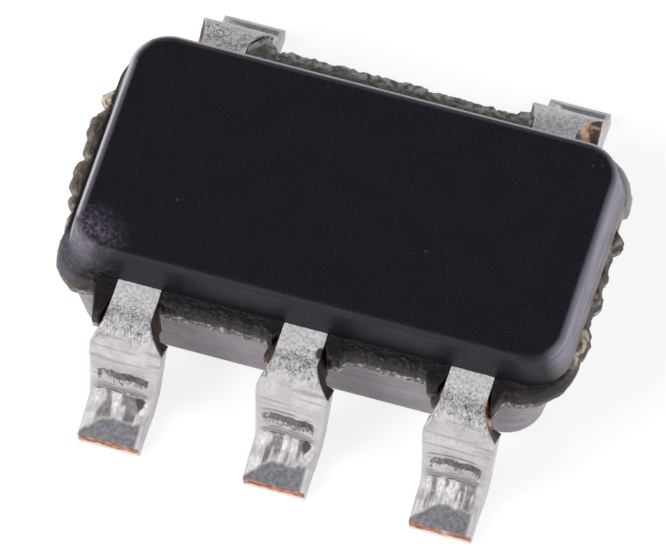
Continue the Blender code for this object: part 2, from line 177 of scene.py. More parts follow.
def lumps(across, along, seed):
    """Smooth noise between -1 and 1, about one lump to each unit."""
    table = np.random.default_rng(seed).uniform(-1, 1, (NOISE_CELLS, NOISE_CELLS))
    across, along = np.broadcast_arrays(np.asarray(across, float), np.asarray(along, float))
    column, row = np.floor(across).astype(int), np.floor(along).astype(int)
    right, down = (part * part * (3 - 2 * part) for part in (across - column, along - row))
    column, after = column % NOISE_CELLS, (column + 1) % NOISE_CELLS
    upper, lower = (table[column, line] * (1 - right) + table[after, line] * right
                    for line in (row % NOISE_CELLS, (row + 1) % NOISE_CELLS))
    return upper * (1 - down) + lower * down


def rough(across, along, seed, octaves=3):
    """Noise with finer lumps on the coarse ones."""
    total = 0.0
    for octave in range(octaves):
        finer = 2.1 ** octave
        total = total + lumps(across * finer, along * finer, seed + octave) / 1.7 ** octave
    return total / 1.6


# Meshes

MERGE_DISTANCE = 0.0002 * MM
SHARP_ANGLE = math.radians(48)


def mesh_object(name, rings, attributes, material):
    """A closed piece from rings of points in millimetres, shaped (rings, points, 3)."""
    count, size = rings.shape[:2]
    numbers = np.arange(count * size).reshape(count, size)
    after = np.roll(numbers, -1, axis=1)
    quads = np.stack([numbers[:-1], after[:-1], after[1:], numbers[1:]], -1).reshape(-1, 4)
    mesh = bpy.data.meshes.new(name)
    faces = quads.tolist() + [numbers[0][::-1].tolist(), numbers[-1].tolist()]
    mesh.from_pydata((rings.reshape(-1, 3) * MM).tolist(), [], faces)
    for label, values in attributes.items():
        kind, field = ("FLOAT_VECTOR", "vector") if values.ndim == 3 else ("FLOAT", "value")
        layer = mesh.attributes.new(label, kind, "POINT")
        layer.data.foreach_set(field, np.ascontiguousarray(values, np.float32).ravel())
    mesh.materials.append(material)
    piece = bpy.data.objects.new(name, mesh)
    bpy.context.scene.collection.objects.link(piece)
    tidy_mesh(mesh)
    return piece


def tidy_mesh(mesh):
    """Merge points that coincide, and shade smoothly with sharp edges kept."""
    bm = bmesh.new()
    bm.from_mesh(mesh)
    bmesh.ops.remove_doubles(bm, verts=bm.verts, dist=MERGE_DISTANCE)
    bmesh.ops.dissolve_degenerate(bm, edges=bm.edges, dist=MERGE_DISTANCE)
    bmesh.ops.recalc_face_normals(bm, faces=bm.faces)
    bm.to_mesh(mesh)
    bm.free()
    mesh.shade_smooth()
    mesh.set_sharp_from_angle(angle=SHARP_ANGLE)


# The moulded housing

STATION_STEP = 0.008
PAIR_STEP = 0.0015
CORNER_STEPS = 30
STRAIGHT_X = BODY_LENGTH / 2 - CORNER_RADIUS
STRAIGHT_Y = BODY_WIDTH / 2 - CORNER_RADIUS
CORNER_SIGNS = ((1, -1), (1, 1), (-1, 1), (-1, -1))
HELD_X = 1.09
NECK_ROOM = 0.003


def neck_edges(side):
    """Where the sides of the necks cross one long wall: -1 is the front and 1 the back."""
    for across, lead_side in LEADS.values():
        if lead_side == side:
            for edge in (-1, 1):
                yield across * PITCH + edge * (NECK_WIDTH / 2 + NECK_ROOM)


def long_stations(side):
    """Places along a long wall, with a pair close together at each side of a neck."""
    places = list(np.arange(-STRAIGHT_X, STRAIGHT_X + STATION_STEP / 2, STATION_STEP))
    for edge in neck_edges(side):
        places = [place for place in places if abs(place - edge) > STATION_STEP * 0.45]
        places += [edge - PAIR_STEP, edge + PAIR_STEP]
    return np.array(sorted(places))


def squeeze(places, straight):
    """The places moved so that the last one ends at the corner, with those at the necks held."""
    beyond = np.maximum(np.abs(places) - HELD_X, 0)
    held = np.minimum(np.abs(places), HELD_X)
    return np.sign(places) * (held + beyond * (straight - HELD_X) / (STRAIGHT_X - HELD_X))


class Outline:
    """The stations round the body, anticlockwise seen from above."""

    def __init__(self):
        self.front = long_stations(-1)
        self.back = long_stations(1)[::-1]
        self.side = np.linspace(-STRAIGHT_Y, STRAIGHT_Y, int(2 * STRAIGHT_Y / STATION_STEP) + 1)
        self.turn = np.radians(90) * np.arange(1, CORNER_STEPS) / CORNER_STEPS

    def places(self, half_x, half_y, radius):
        """Points and outward directions at one height."""
        straight_x, straight_y = half_x - radius, half_y - radius
        side = self.side * straight_y / STRAIGHT_Y
        walls = ((squeeze(self.front, straight_x), -half_y, (0.0, -1.0)), (half_x, side, (1.0, 0.0)),
                 (squeeze(self.back, straight_x), half_y, (0.0, 1.0)), (-half_x, -side, (-1.0, 0.0)))
        points, outs = [], []
        for quarter, (xs, ys, out) in enumerate(walls):
            points.append(np.stack(np.broadcast_arrays(xs, ys), -1))
            outs.append(np.tile(out, (len(points[-1]), 1)))
            angle = math.radians(90) * (quarter - 1) + self.turn
            outs.append(np.stack([np.cos(angle), np.sin(angle)], -1))
            middle = np.array([straight_x, straight_y]) * CORNER_SIGNS[quarter]
            points.append(middle + radius * outs[-1])
        return np.concatenate(points), np.concatenate(outs)

    def around(self, on_wall, at_corners):
        """A value for each station: a function gives the walls', and spaced values the corners'."""
        share = self.turn / math.radians(90)
        corners = [np.interp(share, np.linspace(0, 1, len(values)), values) for values in at_corners]
        walls = [on_wall("front", self.front), on_wall("right", self.side),
                 on_wall("back", self.back), on_wall("left", -self.side)]
        return np.concatenate([part for pair in zip(walls, corners) for part in pair])


def wall_amber(wall, places):
    amber = np.zeros(len(places))
    for start, end, strength in AMBER_STRETCHES.get(wall, ()):
        amber = np.maximum(amber, strength * band(places, start, end, 0.015))
    return amber


def wall_wear(wall, places):
    return np.full(len(places), WALL_WEAR[wall])


def wall_reach(wall, places):
    """The reach of the flash along one wall: the furthest of its tongues, and none at a neck."""
    reach = np.full(len(places), PARTING_BURR)
    tongues = [(place, *tongue) for place, *row in FLASH_TONGUES for tongue in row]
    for seed, (place, start, end, far) in enumerate(tongues):
        if place != wall:
            continue
        inside = np.minimum(places - start, end - places)
        fade, least = FLASH_FADE, FLASH_END_SHARE
        if far >= PEAK_REACH:
            fade, least = (end - start) / 2, PEAK_END_SHARE
        swell = np.clip(least + (1 - least) * inside / fade, 0, 1) * (inside > 0)
        ragged = FLASH_ROUGHNESS * rough(places * 26, seed * 7.3, 40 + seed, 4)
        reach = np.maximum(reach, (far + ragged) * swell)
    edges = list(neck_edges({"front": -1, "back": 1}.get(wall)))
    for low, high in zip(edges[::2], edges[1::2]):
        reach[(places > low) & (places < high)] = 0.0
    return reach


def wall_sizes(height):
    """Half length, half width and corner radius of the drafted walls at a height."""
    rise = height - LEAD_MIDDLE
    end_draft, side_draft = (END_DRAFT, SIDE_DRAFT) if rise > 0 else (LOWER_END_DRAFT, LOWER_SIDE_DRAFT)
    inset = abs(rise) * math.tan(side_draft)
    half_length = BODY_LENGTH / 2 - abs(rise) * math.tan(end_draft)
    return half_length, BODY_WIDTH / 2 - inset, CORNER_RADIUS - inset


def wall_rows():
    """Rows from the bottom face to the top face.

    Each gives its height, its inset from the wall, its share of the flash's reach, and how far
    it takes part in the painted light of the upper walls and in the painted highlight of the top edge.
    """
    for inset in (0.3, 0.1):
        yield STANDOFF, BOTTOM_EDGE_RADIUS + inset, 0, 0, 0
    for angle in np.radians(np.linspace(90, 0, 7)):
        height = WALL_FOOT - BOTTOM_EDGE_RADIUS * math.sin(angle)
        yield height, BOTTOM_EDGE_RADIUS * (1 - math.cos(angle)), 0, 0, 0
    for height in np.linspace(WALL_FOOT, LEAD_BOTTOM, 26)[1:]:
        yield height, 0, 0, 0, 0
    for share in (0.15, 0.35, 0.55, 0.75, 0.9):
        yield LEAD_BOTTOM, 0, share, 0, 0
    rounded = LEAD_TOP - np.array([0.018, 0.011, 0.006, 0.002])
    for height in (*np.linspace(LEAD_BOTTOM + 0.005, LEAD_TOP - FLASH_ROUND_HEIGHT, 13), *rounded):
        yield height, 0, 1, 0, 0
    for share in (0.92, 0.84, 0.75, 0.66, 0.57, 0.48, 0.39, 0.3, 0.21, 0.12, 0.04):
        yield LEAD_TOP, 0, share, 0, 0
    for height in np.linspace(LEAD_TOP, WALL_HEAD, 20):
        yield height, 0, 0, 1, 0
    # edge is the strength of the painted highlight along the rounded top edge and the rim of the top
    # face
    for angle in np.radians(np.linspace(0, 90, 13)[1:]):
        edge = max(math.sin(2 * angle), 0) ** 1.5
        if angle > math.radians(45):
            edge = max(edge, TOP_RIM_EDGE)
        yield (WALL_HEAD + TOP_EDGE_RADIUS * math.sin(angle),
               TOP_EDGE_RADIUS * (1 - math.cos(angle)), 0, math.cos(angle), edge)
    for inset, edge in ((0.003, TOP_RIM_EDGE), (0.01, 0), (0.06, 0)):
        yield BODY_TOP, TOP_EDGE_RADIUS + inset, 0, 0, edge


def flash_out(height, share, reach, run):
    """How far the flash stands out on one row: ragged, with its upper edge rounded."""
    fully = np.clip(reach / FULL_REACH, 0, 1)
    knobs = rough(run * 55, height * 90, 7) * 0.003 + lumps(run * 140, height * 200, 8) * 0.0018
    knobs = knobs * (reach > 0.02)
    rounding = FLASH_EDGE_ROUND * fully
    if share < 1 and height == LEAD_TOP:
        return np.maximum(share * (reach - rounding) + 0.5 * knobs, 0)
    if share < 1:
        return np.maximum(share * reach + 0.5 * knobs, 0)
    climb = max(0.0, 1 - (LEAD_TOP - height) / FLASH_ROUND_HEIGHT)
    return reach + knobs - rounding * (1 - math.sqrt(1 - climb ** 2))


def flash_lift(height, share, reach, run):
    """The unevenness of the flash's upper and lower faces."""
    fully = np.clip(reach / FULL_REACH, 0, 1)
    if share == 0:
        return np.zeros(len(reach))
    if share == 1:
        return -0.009 * fully * ramp(height, LEAD_TOP - 0.06, LEAD_TOP)
    grit = rough(run * 60, share * reach * 70, 9) * 0.004 * fully * ramp(share, 0.0, 0.3)
    return grit - 0.002 - 0.006 * share * fully if height == LEAD_TOP else grit + 0.002


def housing_rings():
    """The rings of the housing with its ragged flash, and the masks of its materials."""
    outline = Outline()
    reach = outline.around(wall_reach, CORNER_REACHES)
    amber = outline.around(wall_amber, CORNER_AMBER)
    wear = outline.around(wall_wear, CORNER_WEAR)
    run = np.arange(len(reach)) * STATION_STEP
    reach = reach + 0.005 * rough(run * 30, 0.5, 12) * (reach > 0.03)
    stands = np.clip((reach - PARTING_BURR) / 0.014, 0, 1)
    rings, rows = [], []
    for height, inset, share, wall, edge in wall_rows():
        half_x, half_y, radius = wall_sizes(min(max(height, WALL_FOOT), WALL_HEAD))
        points, outs = outline.places(half_x - inset, half_y - inset, max(radius - inset, 0.02))
        out = flash_out(height, share, reach, run) if share > 0 else np.zeros(len(reach))
        ring = np.empty((len(out), 3))
        ring[:, :2] = points + outs * out[:, None]
        ring[:, 2] = height + flash_lift(height, share, reach, run)
        if share == 0:
            ring[:, 0] += LOWER_SHIFT if height <= LEAD_BOTTOM else UPPER_SHIFT
        rings.append(ring)
        rows.append(housing_masks(height, share, wall, edge, points[:, 1], outs, stands, wear, amber))
    return np.array(rings), stacked(rows)


def housing_masks(height, share, wall, edge, along, outs, stands, wear, amber):
    """The masks of the housing's material on one row: along is the place from front to back."""
    east, north = outs.T
    left, back = ramp(-east, 0.5, 0.9), ramp(north, 0.6, 0.95)
    right = np.where(north < 0, ramp(east, 0.6, 1.0), ramp(east, 0.2, 0.8))
    front_left = ramp(-east, 0.1, 0.5) * ramp(-north, 0.02, 0.22)
    front_right = ramp(east, 0.1, 0.5) * ramp(-north, 0.05, 0.45)
    back_right = ramp(east, 0.18, 0.22) * ramp(along, STRAIGHT_Y - 0.08, STRAIGHT_Y)
    whole, upper = share == 1, share > 0 and height > LEAD_BOTTOM
    # Where the flash takes the tone of the wall above it
    root = 1 - ramp(share, 0.0, 0.3) if height == LEAD_TOP and 0 < share < 1 else 0.0
    merged = np.maximum(right * root, back_right * upper)
    blended = FRONT_RIGHT_MERGED * front_right * upper * (height > LEAD_TOP - 0.09)
    cornered = front_left * upper * ramp(height, LEAD_TOP - 0.07, LEAD_TOP - 0.02)
    # beige is a painted highlight along the left wall towards the back; shown adds a paler painted
    # light at the front left corner, and a paler tone on the bulge at the back right
    beige = BACK_LEFT_PALENESS * left * ramp(along, 0.22, 0.4) * wall
    shown = FRONT_LEFT_PALENESS * np.maximum(front_left * wall, cornered)
    shown = shown + BULGE_PALENESS * back_right * upper + 0.4 * beige
    # lip marks the flash's lower edge, whose crumbs carry painted glints
    lip = ramp(LEAD_BOTTOM + 0.068 - height, 0, 0.02)
    # A painted highlight along the outer top edge of the flash, shown at the back
    rim_highlight = ramp(share, 0.7, 0.94) * (height > LEAD_TOP - 0.02)
    # Painted amber glow where the flash is thin, and on the rim at the left
    amber_rim = RIM_AMBER * ramp(share, 0.8, 0.95) * np.maximum(left, front_left)
    inner = ramp(share, 0.05, 0.3) * ramp(height, LEAD_TOP - 0.035, LEAD_TOP - 0.012)
    glow = np.where(east > 0, inner, ramp(share, 0.25, 0.75))
    return {
        "flash": stands * (share > 0) * (1 - merged) * (1 - cornered) * (1 - blended),
        "face": stands * whole * (height < LEAD_TOP - 0.02) * (1 - front_left),
        "lip": stands * whole * lip * (1 - 0.85 * np.maximum(front_left, front_right)),
        # pale carries the painted sheen of the right end wall, which the flash beside it and at the
        # back right takes too, and the painted highlight at the back left
        "pale": np.maximum(right * np.maximum(wall, (1 - stands) * upper), np.maximum(merged, beige)),
        # edge carries the painted highlights on the top edge and down the front left corner
        "edge": painted_highlight_lines(height, wall, edge, outs, left, back) * (1 - right) + shown,
        "wear": wear * (0.1 + 0.9 * ramp(share, 0.0, 0.5)),
        "olive": back * stands * (1 + rim_highlight),
        "amber": np.maximum(amber * glow, amber_rim),
    }


def painted_highlight_lines(height, wall, edge, outs, left, back):
    """Painted highlights: bright lines on the top edge, and down the wall at the front left corner."""
    turned, west = -outs[:, 1] / SHEEN_TURN, outs[:, 0] < 0
    on_left = (0.9 * edge ** 4 + 0.18 * edge) * (1 - ramp(turned, 0.15, 0.75) * west)
    on_top = np.maximum(left * (on_left + 0.035 * wall), np.maximum(back * edge ** 2.5, 0.015 * edge))
    # The painted highlight that runs down the wall at the front left corner
    path = height - SHEEN_TOP + SHEEN_DROP * turned
    sheen = band(path, -0.045, 0.04, 0.03) * band(turned, 0.08, 0.88, 0.18) * west
    return on_top + CORNER_SHEEN * sheen * (wall > 0)


def make_housing(material):
    rings, masks = housing_rings()
    housing = mesh_object("moulded_housing", rings, masks, material)
    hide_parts("body")
    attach(housing, "root")


# The leads

RING_STEP = 0.006
INNER_STEP = 0.03
LEAST_STEP = 0.0009
# Points on each straight and corner round a section, from the bottom over the right side. The
# two ends of a corner are left out.
SECTION_COUNTS = (12, 4, 12, 8, 52, 8, 12, 4)
RIGHT_SIDE, LEFT_SIDE, UPPER_FACE = 2, 6, (3, 4, 5)
LOWER_EDGE_RADIUS = 0.008
TIP_FACE_INSET = 0.002
# How far the cut faces slope out, left and right, by the distance to the tip
SLOPE_PLACES = (0.825, 0.85, 0.89, 0.93, 0.985, 1.02, 1.05)
SLOPES_LEFT = (0.0, 0.012, 0.05, 0.072, 0.072, 0.03, 0.0)
SLOPES_RIGHT = (0.0, 0.024, 0.042, 0.05, 0.028, 0.01, 0.0)
# Which leads carry single marks: bare copper beside the neck, a dark wedge on the heel, fine
# streaks, and a fainter grain
BARE_LEADS = (3, 4)
BARE_STRETCH = (0.845, 0.955)
WEDGE_LEADS = (1, 2)
WEDGE_PLACE = 0.66
STREAKED_LEAD = 3
FAINT_GRAIN = {4: 0.55}
# How far up a foot is dull, in front and at the back
DULL_REACH = {-1: 0.118, 1: 0.07}
NECK_SHOWN = 0.22
SHEAR_MARKS = 0.0018
# Keeps the leads apart in the place that their noise reads
SHEET_STEP = 3.7


def wing_stretches(side):
    """Length and turn of the shoulder bend, leg, heel bend and foot. A turn down is positive."""
    leg_angle = LEG_ANGLE if side < 0 else BACK_LEG_ANGLE
    heel_turn = leg_angle - FOOT_ANGLE
    tip_middle = LEAD_THICKNESS / 2 * math.cos(FOOT_ANGLE)
    bends_drop = SHOULDER_RADIUS * (1 - math.cos(leg_angle))
    bends_drop += HEEL_RADIUS * (math.cos(FOOT_ANGLE) - math.cos(leg_angle))
    leg_drop = LEAD_MIDDLE - tip_middle - bends_drop - FOOT_LENGTH * math.sin(FOOT_ANGLE)
    return [
        (SHOULDER_RADIUS * leg_angle, leg_angle),
        (leg_drop / math.sin(leg_angle), 0),
        (HEEL_RADIUS * heel_turn, -heel_turn),
        (FOOT_LENGTH, 0),
    ]


def path_end(stretches, run, out=0.0, height=0.0, heading=0.0):
    """Where a path of straight and bent stretches is after a run along it."""
    for index, (length, turn) in enumerate(stretches):
        part = run if index == len(stretches) - 1 else min(run, length)
        if turn:
            radius = length / turn
            new_heading = heading + part / radius
            out += radius * (math.sin(new_heading) - math.sin(heading))
            height += radius * (math.cos(new_heading) - math.cos(heading))
            heading = new_heading
        else:
            out += part * math.cos(heading)
            height -= part * math.sin(heading)
        run -= part
        if run <= 0:
            break
    return out, height, heading


def total_run(stretches):
    return sum(length for length, turn in stretches)


WING_RUN = {side: total_run(wing_stretches(side)) for side in (-1, 1)}
NECK_END = {side: BODY_WIDTH / 2 + LEAD_REACH - path_end(wing_stretches(side), WING_RUN[side])[0]
            for side in (-1, 1)}


def inner_path(with_pad):
    """Start place, level and stretches of a lead inside the body."""
    if not with_pad:
        return BODY_WIDTH / 2 - ANCHOR_NECK - ANCHOR_DEPTH, LEAD_MIDDLE, []
    climb = PAD_DOWNSET - 2 * RAMP_RADIUS * (1 - math.cos(RAMP_ANGLE))
    return -PAD_DEPTH / 2, LEAD_MIDDLE - PAD_DOWNSET, [
        (PAD_DEPTH, 0),
        (RAMP_RADIUS * RAMP_ANGLE, -RAMP_ANGLE),
        (climb / math.sin(RAMP_ANGLE), 0),
        (RAMP_RADIUS * RAMP_ANGLE, RAMP_ANGLE),
    ]


def half_widths(run, bend_run, wing_run, with_pad):
    """Half widths, left and right, of a lead at a run from its inner end."""
    half = NECK_WIDTH / 2
    wide, depth = (PAD_HALF, PAD_DEPTH) if with_pad else (ANCHOR_WIDTH / 2, ANCHOR_DEPTH)
    if run < depth:
        share = max(0.0, (run - depth + ANCHOR_TAPER) / ANCHOR_TAPER)
        inner = wide + (half - wide) * share
        return inner, inner
    step = (LEAD_WIDTH - NECK_WIDTH) / 2
    past = run - bend_run
    if past <= 0:
        return half, half
    if past < NOTCH_LENGTH:
        widen = (past / NOTCH_LENGTH) ** NOTCH_POWER
        return half + step * widen, half + (step + TIE_STUB) * widen
    to_foot = wing_run - FOOT_LENGTH - NOTCH_LENGTH
    share = min(1.0, (past - NOTCH_LENGTH) / to_foot)
    return half + step, half + step + TIE_STUB * (1 - share)


def lead_runs(bend_run, side, inner):
    """Runs of a lead's rings: close together outside the body, and closer at the notch's end."""
    inside = bend_run - (NECK_END[side] - BODY_WIDTH / 2) - 0.06
    tip_run = bend_run + WING_RUN[side]
    depth = PAD_DEPTH if inner else ANCHOR_DEPTH
    runs = [0.0, depth - ANCHOR_TAPER, depth, bend_run + NOTCH_LENGTH, tip_run]
    runs += list(np.cumsum([length for length, turn in inner]))
    runs += list(np.arange(0.0, inside, INNER_STEP))
    runs += list(np.arange(inside, tip_run, RING_STEP))
    kept = []
    for run in sorted(runs):
        if not kept or run - kept[-1] > LEAST_STEP:
            kept.append(run)
    kept[-1] = tip_run
    return kept


def section_template():
    """For each point round a section: its stretch, and its share of the way across and up."""
    for stretch, count in enumerate(SECTION_COUNTS):
        for share in np.linspace(0, 1, count):
            if stretch % 2 == 0:
                yield stretch, share, share
            elif 0 < share < 1:
                turn = math.radians(90) * share
                eased = (math.sin(turn), 1 - math.cos(turn))
                yield (stretch, *(eased if stretch % 4 == 1 else eased[::-1]))


TEMPLATE = np.array(list(section_template()))
STRETCH, EASE = TEMPLATE[:, 0].astype(int), TEMPLATE[:, 1:]
ON_TOP = np.isin(STRETCH, UPPER_FACE).astype(float)
ON_SIDE = np.isin(STRETCH, (RIGHT_SIDE, LEFT_SIDE)).astype(float)
ON_RIGHT = (STRETCH == RIGHT_SIDE).astype(float)


def section(to_tip, left, right):
    """Across and up places of one section of a lead. Its cut sides slope out towards the bottom."""
    thinning = max(0.0, 1 - to_tip / TIP_BEVEL) * (LEAD_THICKNESS - TIP_THICKNESS)
    top, bottom = LEAD_THICKNESS / 2 - thinning, -LEAD_THICKNESS / 2
    roll_left, roll_right = edge_rolls(to_tip)
    low_left = left + np.interp(to_tip, SLOPE_PLACES, SLOPES_LEFT)
    low_right = right + np.interp(to_tip, SLOPE_PLACES, SLOPES_RIGHT)
    burr = LOWER_EDGE_RADIUS
    starts = np.array([(burr - low_left, bottom), (low_right - burr, bottom),
                       (low_right, bottom + burr), (right, top - roll_right),
                       (right - roll_right, top), (roll_left - left, top),
                       (-left, top - roll_left), (-low_left, bottom + burr)])
    ways = np.roll(starts, -1, axis=0) - starts
    return starts[STRETCH] + ways[STRETCH] * EASE


def edge_rolls(to_tip):
    """Radii of the upper edges: small on the neck, wider on the coined foot, nothing at its tip."""
    foot = band(to_tip, 0.045, 0.3, 0.05) * 0.018
    leg = band(to_tip, 0.25, 0.7, 0.08) * 0.01
    return 0.01 + foot + leg, 0.01 + 1.5 * foot + leg


def torn_row(across, place, arc, seed):
    """The torn row under the leg's smooth part, with threads below it."""
    ragged = arc + 0.014 * rough(across * 17, 0.0, seed + 8)
    dense = ramp(place, -0.8, 0.4)
    row = band(ragged, 0.535, 0.608, 0.014) * (0.62 + 0.38 * dense)
    return np.maximum(row, band(ragged, 0.49, 0.56, 0.024) * (0.24 + 0.24 * dense))


def heel_marks(to_tip, across, place, arc, number):
    """Grooves down the heel, the ridges between them, and the dull end of the foot."""
    seed, side = 100 * number, LEADS[number][1]
    fine, darker = (0.8, 0.16) if number == STREAKED_LEAD else (0.35, 0.0)
    streaks = lumps(across * 34, to_tip * 3.0, seed + 4) - darker
    streaks = streaks + fine * lumps(across * 70, to_tip * 9, seed + 5)
    lower = DULL_REACH[side] * ramp(place, -1.25, -0.15) + 0.012 * rough(across * 26, 3.3, seed + 6)
    in_heel = ramp(to_tip, lower - 0.008, lower + 0.016) * (1 - ramp(arc, 0.385, 0.405))
    dull = (1 - ramp(to_tip, lower - 0.012, lower + 0.012)) * (1 - ramp(place, 0.8, 0.9))
    if side > 0:
        dull = dull * ramp(to_tip, 0.014, 0.03)
    return in_heel * ramp(-streaks, 0.02, 0.36), in_heel * ramp(streaks, -0.05, 0.25), dull


def dark_marks(to_tip, across, place, number):
    """The dark wedge on the heel, and the bite beside the neck of the pad's lead."""
    spread = 0.09 + 0.75 * max(to_tip - 0.22, 0)
    wedge = np.hypot((place - WEDGE_PLACE) / spread, (to_tip - 0.315) / 0.092)
    wedge = wedge + 0.25 * lumps(across * 70, to_tip * 26, 100 * number + 14)
    dark = (1 - ramp(wedge, 0.65, 1.05)) * (number in WEDGE_LEADS)
    if number == PAD_LEAD:
        bite = np.hypot((across - 0.118) / 0.026, (to_tip - 0.975) / 0.038)
        dark = np.maximum(dark, 1 - ramp(bite, 0.7, 1.15))
    return dark


def marks_on_top(to_tip, across, number):
    """Masks of the marks that plating and forming left on a lead's upper face, and its relief."""
    seed, place = 100 * number, across / (LEAD_WIDTH / 2)

    def broken(detail, draw, low, high):
        return ramp(lumps(across * detail, draw - 3.5, seed + draw), low, high)

    wide = ramp(place, -0.92, -0.66) * (1 - ramp(place, 0.84, 0.98))
    middle = ramp(place, -0.86, -0.66) * (1 - ramp(place, 0.74, 0.88))
    arc = to_tip + 0.03 * place ** 2 + 0.01 * lumps(across * 9, 0.0, seed)
    grain = ramp(to_tip + 0.03 * lumps(across * 22, 1.5, seed + 1), 0.8, 0.86)
    grain = grain * FAINT_GRAIN.get(number, 1.0)
    blotch = torn_row(across, place, arc, seed) * wide
    line = band(arc, 0.628, 0.644, 0.006) * broken(12, 9, -0.8, 0.2) * middle
    # The grey arc of the bend tool, with a dark line above and below it
    crease = band(arc, 0.42, 0.458, 0.007) * wide
    above = band(arc, 0.462, 0.471, 0.004) * broken(16, 10, -0.6, 0.3) * middle
    under = band(arc + 0.006 * lumps(across * 40, 7.5, seed + 11), 0.396, 0.414, 0.006)
    under = under * (0.5 + 0.5 * broken(28, 12, -0.3, 0.3)) * middle
    groove, white, dull = heel_marks(to_tip, across, place, arc, number)
    groove, white = groove * middle, white * wide
    dark = dark_marks(to_tip, across, place, number)
    relief = (-0.003 * (blotch + above + dark) - 0.004 * under - 0.0012 * groove
              + 0.0008 * white + 0.0015 * crease
              + 0.002 * grain * rough(across * 52, to_tip * 52, seed + 7)
              + 0.0008 * lumps(across * 3, to_tip * 70, seed + 13) * band(to_tip, 0.66, 0.82, 0.02))
    marks = dict(grain=grain, blotch=np.maximum(blotch, under), crease=np.maximum(crease, 0.6 * line),
                 line=np.maximum(above, 0.7 * line), groove=groove, dark=dark, white=white, dull=dull)
    return marks, relief


def with_tip_face(rings, masks):
    """The rings with one more just inside the last, for the finish of the tip's cut face."""
    inward = rings[-1].mean(0) - rings[-1]
    inward /= np.linalg.norm(inward, axis=1, keepdims=True)
    rings = np.concatenate([rings, [rings[-1] + TIP_FACE_INSET * inward]])
    masks = {label: np.concatenate([values, values[-1:] * (label == "sheet")])
             for label, values in masks.items()}
    masks["tip"] = np.zeros(rings.shape[:2])
    masks["tip"][-1] = 1.0
    return rings, masks


def lead_rings(number):
    """The rings of a lead from its inner end to its tip, and the masks of its materials."""
    across_place, side = LEADS[number]
    with_pad = number == PAD_LEAD
    out, height, inner = inner_path(with_pad)
    reached = path_end(inner, total_run(inner), out)[0]
    stretches = inner + [(NECK_END[side] - reached, 0)] + wing_stretches(side)
    tip_run = total_run(stretches)
    bend_run = tip_run - WING_RUN[side]
    rings, rows = [], []
    for run in lead_runs(bend_run, side, inner):
        to_tip = tip_run - run
        widths = half_widths(run, bend_run, WING_RUN[side], with_pad)
        over, lift = section(to_tip, *widths).T
        found, relief = marks_on_top(to_tip, over, number)
        outside = float(to_tip < WING_RUN[side] + NECK_SHOWN)
        row = {label: values * ON_TOP * outside for label, values in found.items()}
        lift = lift + relief * ON_TOP * outside
        shear = SHEAR_MARKS * lumps(run * 45, lift * 25, 300 + number) * ON_SIDE * outside
        over = over + np.where(over > 0, 1, -1) * (shear - SHEAR_MARKS * ON_SIDE)
        middle_out, middle_height, heading = path_end(stretches, run, out, height)
        rings.append(np.stack([across_place * PITCH + over,
                               side * (middle_out + lift * math.sin(heading)),
                               middle_height + lift * math.cos(heading)], -1))
        row["bare"] = ON_RIGHT * (number in BARE_LEADS) * band(to_tip, *BARE_STRETCH, 0.012)
        row["sheet"] = np.stack([over + SHEET_STEP * number, np.full(len(over), to_tip), lift], -1)
        row["cut"] = ON_SIDE * band(to_tip, WING_RUN[side] - NOTCH_LENGTH, 1.2, 0.004)
        rows.append(row)
    return np.array(rings), stacked(rows)


def make_lead(number, material):
    rings, masks = with_tip_face(*lead_rings(number))
    if LEADS[number][1] > 0:
        rings = rings[:, ::-1]
        masks = {label: values[:, ::-1] for label, values in masks.items()}
    lead = mesh_object(f"formed_lead_{number}", rings, masks, material)
    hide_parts(f"lead_{number}")
    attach(lead, "root")


# Materials

# The middle of the scuffed patch on top, and how much narrower it is across
SCUFF_X = -1.28
SCUFF_Y = -0.6
SCUFF_SQUASH = 0.75
PARTING_BLUR = 0.004


